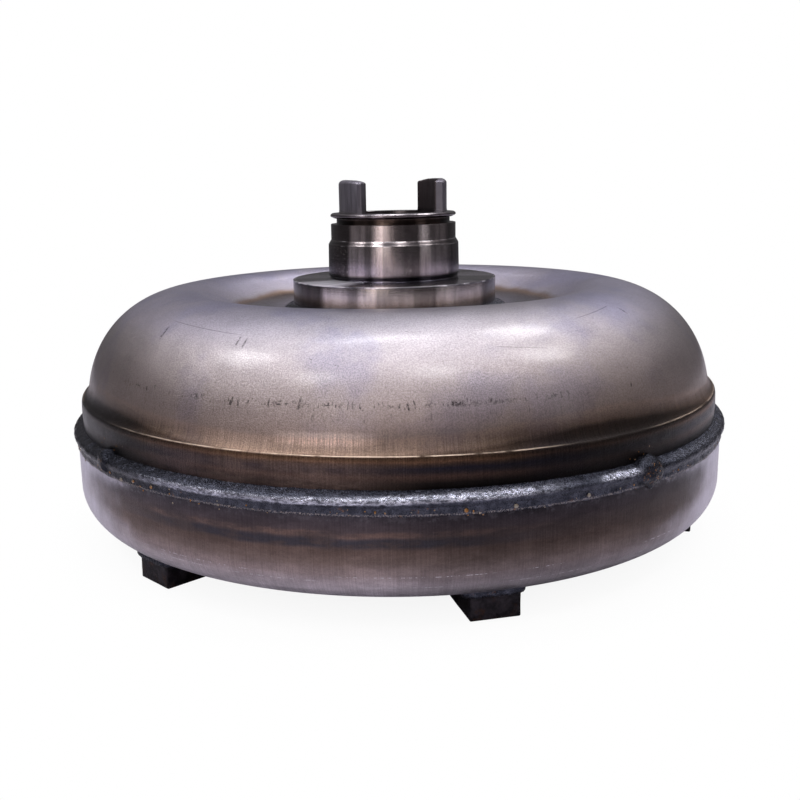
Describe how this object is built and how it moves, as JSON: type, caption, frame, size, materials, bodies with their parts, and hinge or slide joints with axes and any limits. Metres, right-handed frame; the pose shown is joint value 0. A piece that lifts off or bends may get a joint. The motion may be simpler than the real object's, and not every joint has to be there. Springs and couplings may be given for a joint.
{
  "type": "torque converter",
  "caption": "Welded torque converter housing with pump drive hub and drive lugs, holding turbine, stator with one-way clutch, and lock-up clutch with spring damper.",
  "frame": {"origin": "On the rotation axis, in the plane of the six drive lug faces that the part stands on.", "axes": "+Z along the rotation axis, from the engine side up to the pump hub; one drive lug lies on -Y and the hub tangs lie close to the X axis."},
  "size_m": [0.3104, 0.3104, 0.1623],
  "materials": {
    "shell_steel": "drawn steel sheet, mill finish with heat tint beside the weld",
    "cover_steel": "drawn steel sheet, satin grey",
    "weld_metal": "dark oxidised weld metal",
    "lug_steel": "black oxidised forged steel",
    "machined_steel": "turned and ground steel",
    "stamped_steel": "stamped steel, brazed",
    "hard_steel": "hardened ground steel",
    "spring_steel": "oil tempered spring wire",
    "cast_aluminium": "die cast aluminium",
    "bronze": "bearing bronze",
    "friction_paper": "friction paper",
    "seal_rubber": "seal rubber"
  },
  "bodies": {
    "housing": {"front_cover": "cover_steel", "crank_pilot": "machined_steel", "drive_lug_1": "lug_steel", "drive_lug_2": "lug_steel", "drive_lug_3": "lug_steel", "drive_lug_4": "lug_steel", "drive_lug_5": "lug_steel", "drive_lug_6": "lug_steel", "shell_weld": "weld_metal", "impeller_shell": "shell_steel", "shell_recess_wall": "shell_steel", "shell_recess_floor": "shell_steel", "impeller_vanes": "stamped_steel", "pump_hub": "machined_steel", "hub_weld": "weld_metal", "cover_thrust_washer": "bronze", "upper_bearing_washer_hub": "hard_steel"},
    "turbine": {"turbine_shell": "stamped_steel", "turbine_vanes": "stamped_steel", "turbine_hub": "hard_steel", "turbine_rivet_1": "hard_steel", "turbine_rivet_2": "hard_steel", "turbine_rivet_3": "hard_steel", "turbine_rivet_4": "hard_steel", "turbine_rivet_5": "hard_steel", "turbine_rivet_6": "hard_steel", "damper_hub_plate": "hard_steel", "piston_seal": "seal_rubber", "lower_bearing_washer_turbine": "hard_steel"},
    "damper": {"spring_retainer_upper": "stamped_steel", "spring_retainer_lower": "stamped_steel", "damper_spring_1": "spring_steel", "damper_spring_2": "spring_steel", "damper_spring_3": "spring_steel", "damper_spring_4": "spring_steel", "damper_stop_pin_1": "hard_steel", "damper_stop_pin_2": "hard_steel", "damper_stop_pin_3": "hard_steel", "damper_stop_pin_4": "hard_steel"},
    "lockup_clutch": {"lockup_piston": "stamped_steel", "friction_lining": "friction_paper"},
    "stator": {"stator_wheel": "cast_aluminium", "clutch_outer_race": "hard_steel", "clutch_bushing_lower": "bronze", "clutch_bushing_upper": "bronze", "stator_snap_ring": "spring_steel", "clutch_cage": "stamped_steel", "clutch_roller_1": "hard_steel", "clutch_roller_2": "hard_steel", "clutch_roller_3": "hard_steel", "clutch_roller_4": "hard_steel", "clutch_roller_5": "hard_steel", "clutch_roller_6": "hard_steel", "clutch_roller_7": "hard_steel", "clutch_roller_8": "hard_steel", "lower_bearing_washer_stator": "hard_steel", "upper_bearing_washer_stator": "hard_steel"},
    "stator_race": {"clutch_inner_race": "hard_steel"},
    "lower_bearing_cage": {"lower_needle_cage": "stamped_steel"},
    "upper_bearing_cage": {"upper_needle_cage": "stamped_steel"}
  },
  "joints": [
    {"name": "turbine_spin", "type": "hinge", "parent": "housing", "child": "turbine", "pos_m": [0, 0, 0.04], "axis": [0, 0, 1], "continuous": true},
    {"name": "damper_twist", "type": "hinge", "parent": "turbine", "child": "damper", "pos_m": [0, 0, 0.0337], "axis": [0, 0, 1], "range_deg": [-6, 6], "stiffness_Nm_per_rad": 900, "deforming": ["damper_spring_1", "damper_spring_2", "damper_spring_3", "damper_spring_4"]},
    {"name": "lockup_slide", "type": "slide", "parent": "damper", "child": "lockup_clutch", "axis": [0, 0, 1], "range_m": [-0.0014, 0]},
    {"name": "stator_spin", "type": "hinge", "parent": "housing", "child": "stator", "pos_m": [0, 0, 0.067], "axis": [0, 0, 1], "continuous": true},
    {"name": "stator_race_spin", "type": "hinge", "parent": "stator", "child": "stator_race", "pos_m": [0, 0, 0.066], "axis": [0, 0, 1], "continuous": true},
    {"name": "lower_bearing_spin", "type": "hinge", "parent": "turbine", "child": "lower_bearing_cage", "pos_m": [0, 0, 0.0479], "axis": [0, 0, 1], "continuous": true},
    {"name": "upper_bearing_spin", "type": "hinge", "parent": "housing", "child": "upper_bearing_cage", "pos_m": [0, 0, 0.0879], "axis": [0, 0, 1], "continuous": true}
  ],
  "couplings": [
    {"joint": "upper_bearing_spin", "follows": "stator_spin", "ratio": 0.5}
  ]
}
